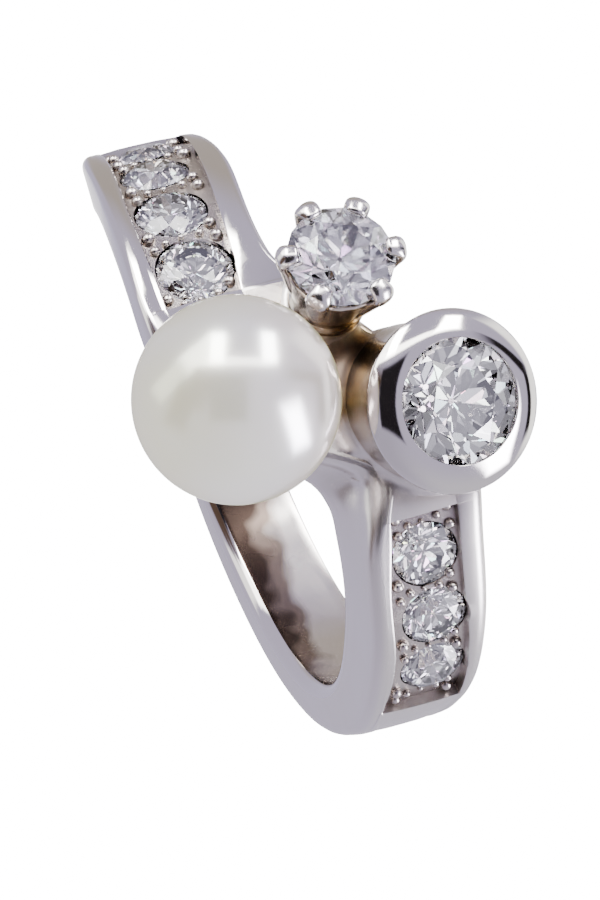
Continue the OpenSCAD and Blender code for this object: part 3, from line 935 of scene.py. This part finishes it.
behind = add(tree, "ShaderNodeMapRange", {"interpolation_type": "SMOOTHSTEP"},
             Value=degrees, From_Min=162.0, From_Max=180.0)
tent = add(tree, "ShaderNodeMixRGB", Fac=behind.outputs["Result"], Color1=linear("#E2DCFB"),
           Color2=linear("#FFFDFF", 2.4)).outputs["Color"]
PANELS = (
    # The sheet and cards low down and to the side: grey-lilac and warm grey
    ((60, -100), (60, 45), 0, 0.8, "#ECE9F8", 1.1),
    ((-40, -50), (40, 35), 0, 0.8, "#D3CDE6", 0.95),
    ((-30, 130), (75, 28), 0, 0.6, "#D2C8C2", 0.95),
    # White cards: the light faces of the shank, shoulders and bezel
    ((128, 5), (16, 62), 0, 0.4, "#FFFFFF", 2.4),
    ((108, 62), (40, 16), -38, 0.4, "#FFFFFF", 2.6),
    ((-79, 21), (25, 12), 40, 0.3, "#FFFFFF", 2.6),
    ((-39, 56), (27, 12), 40, 0.3, "#FFFFFF", 8.0),
    # Dark cards: the bezel's black bands and the brown shade on the shoulders
    ((83, 28), (24, 7), -5, 0.35, "#3A3436", 0.4),
    ((107, -2), (7, 30), 8, 0.35, "#3A3436", 0.4),
    ((-42, 10), (14, 20), -25, 0.5, "#6A564A", 0.9),
    ((-62, -8), (14, 26), -25, 0.4, "#6A564A", 0.9),
    ((-8, 2), (21, 26), 0, 0.12, "#2C282E", 0.8),
    # Lamps: the bright lines on the metal and the window-like lights on the pearl
    ((-4, 42), (40, 5), 0, 0.4, "#FFFFFF", 10.0),
    ((-21, 59), (8, 18), 0, 0.25, "#FFFFFF", 30.0),
    ((38, 61), (8, 19), 0, 0.25, "#FFFFFF", 30.0),
    ((72, -32), (11, 27), 20, 0.45, "#F6F4FF", 30.0))
for row in PANELS:
    tent = panel(tent, *row)
print("panels in the tent:", len(PANELS))

# %% [markdown]
# A diamond sends light back from many small directions at once, and it glitters only
# when those directions differ. A plain tent would leave the stones grey, so the rays that
# have passed through a stone see a surround of their own: Voronoi cells, of which a few
# are strong lights with a trace of colour, the fire of an old cut. The power curve makes
# most cells dim and only some bright.

# %% Sparks for the stones
SPARK_LOW, SPARK_HIGH = 0.46, 13.0
cells = add(tree, "ShaderNodeTexVoronoi", Vector=direction, Scale=15.0)  # about 4 degrees wide
parts = add(tree, "ShaderNodeSeparateColor", Color=cells.outputs["Color"])
rare = add(tree, "ShaderNodeMath", {"operation": "POWER"},
           {0: parts.outputs["Red"], 1: 8.0}).outputs["Value"]
strong = add(tree, "ShaderNodeMath", {"operation": "MULTIPLY_ADD"},
             {0: rare, 1: SPARK_HIGH, 2: SPARK_LOW})
fire = add(tree, "ShaderNodeCombineColor", {"mode": "HSV"}, Red=parts.outputs["Green"],
           Green=parts.outputs["Blue"], Blue=1.0)
some = add(tree, "ShaderNodeMath", {"operation": "MULTIPLY"}, {0: rare, 1: 0.6})
tinted = add(tree, "ShaderNodeMixRGB", Fac=some.outputs["Value"],
             Color1=linear("#F6F3FF", 1.07), Color2=fire.outputs["Color"])
sparks = add(tree, "ShaderNodeVectorMath", {"operation": "SCALE"}, {0: tinted.outputs["Color"]},
             Scale=strong.outputs["Value"])
print("sparks: strength", SPARK_LOW, "to", SPARK_LOW + SPARK_HIGH)

# %% [markdown]
# A Light Path node tells what kind of ray is asking. Mirror-like rays get the panels,
# rays out of the stones get the sparks, and the soft light that falls on everything is
# plain white, so the pearl's body stays clean however strong the panels are.

# %% One surround from three
ray = add(tree, "ShaderNodeLightPath")
seen = add(tree, "ShaderNodeMixRGB", Fac=ray.outputs["Is Glossy Ray"],
           Color1=linear("#FFFCFB", 1.72), Color2=tent)
seen = add(tree, "ShaderNodeMixRGB", Fac=ray.outputs["Is Transmission Ray"],
           Color1=seen.outputs["Color"], Color2=sparks.outputs["Vector"])
background = add(tree, "ShaderNodeBackground", Color=seen.outputs["Color"], Strength=1.0)
add(tree, "ShaderNodeOutputWorld", Surface=background.outputs["Background"])
print("nodes in the surround:", len(tree.nodes))
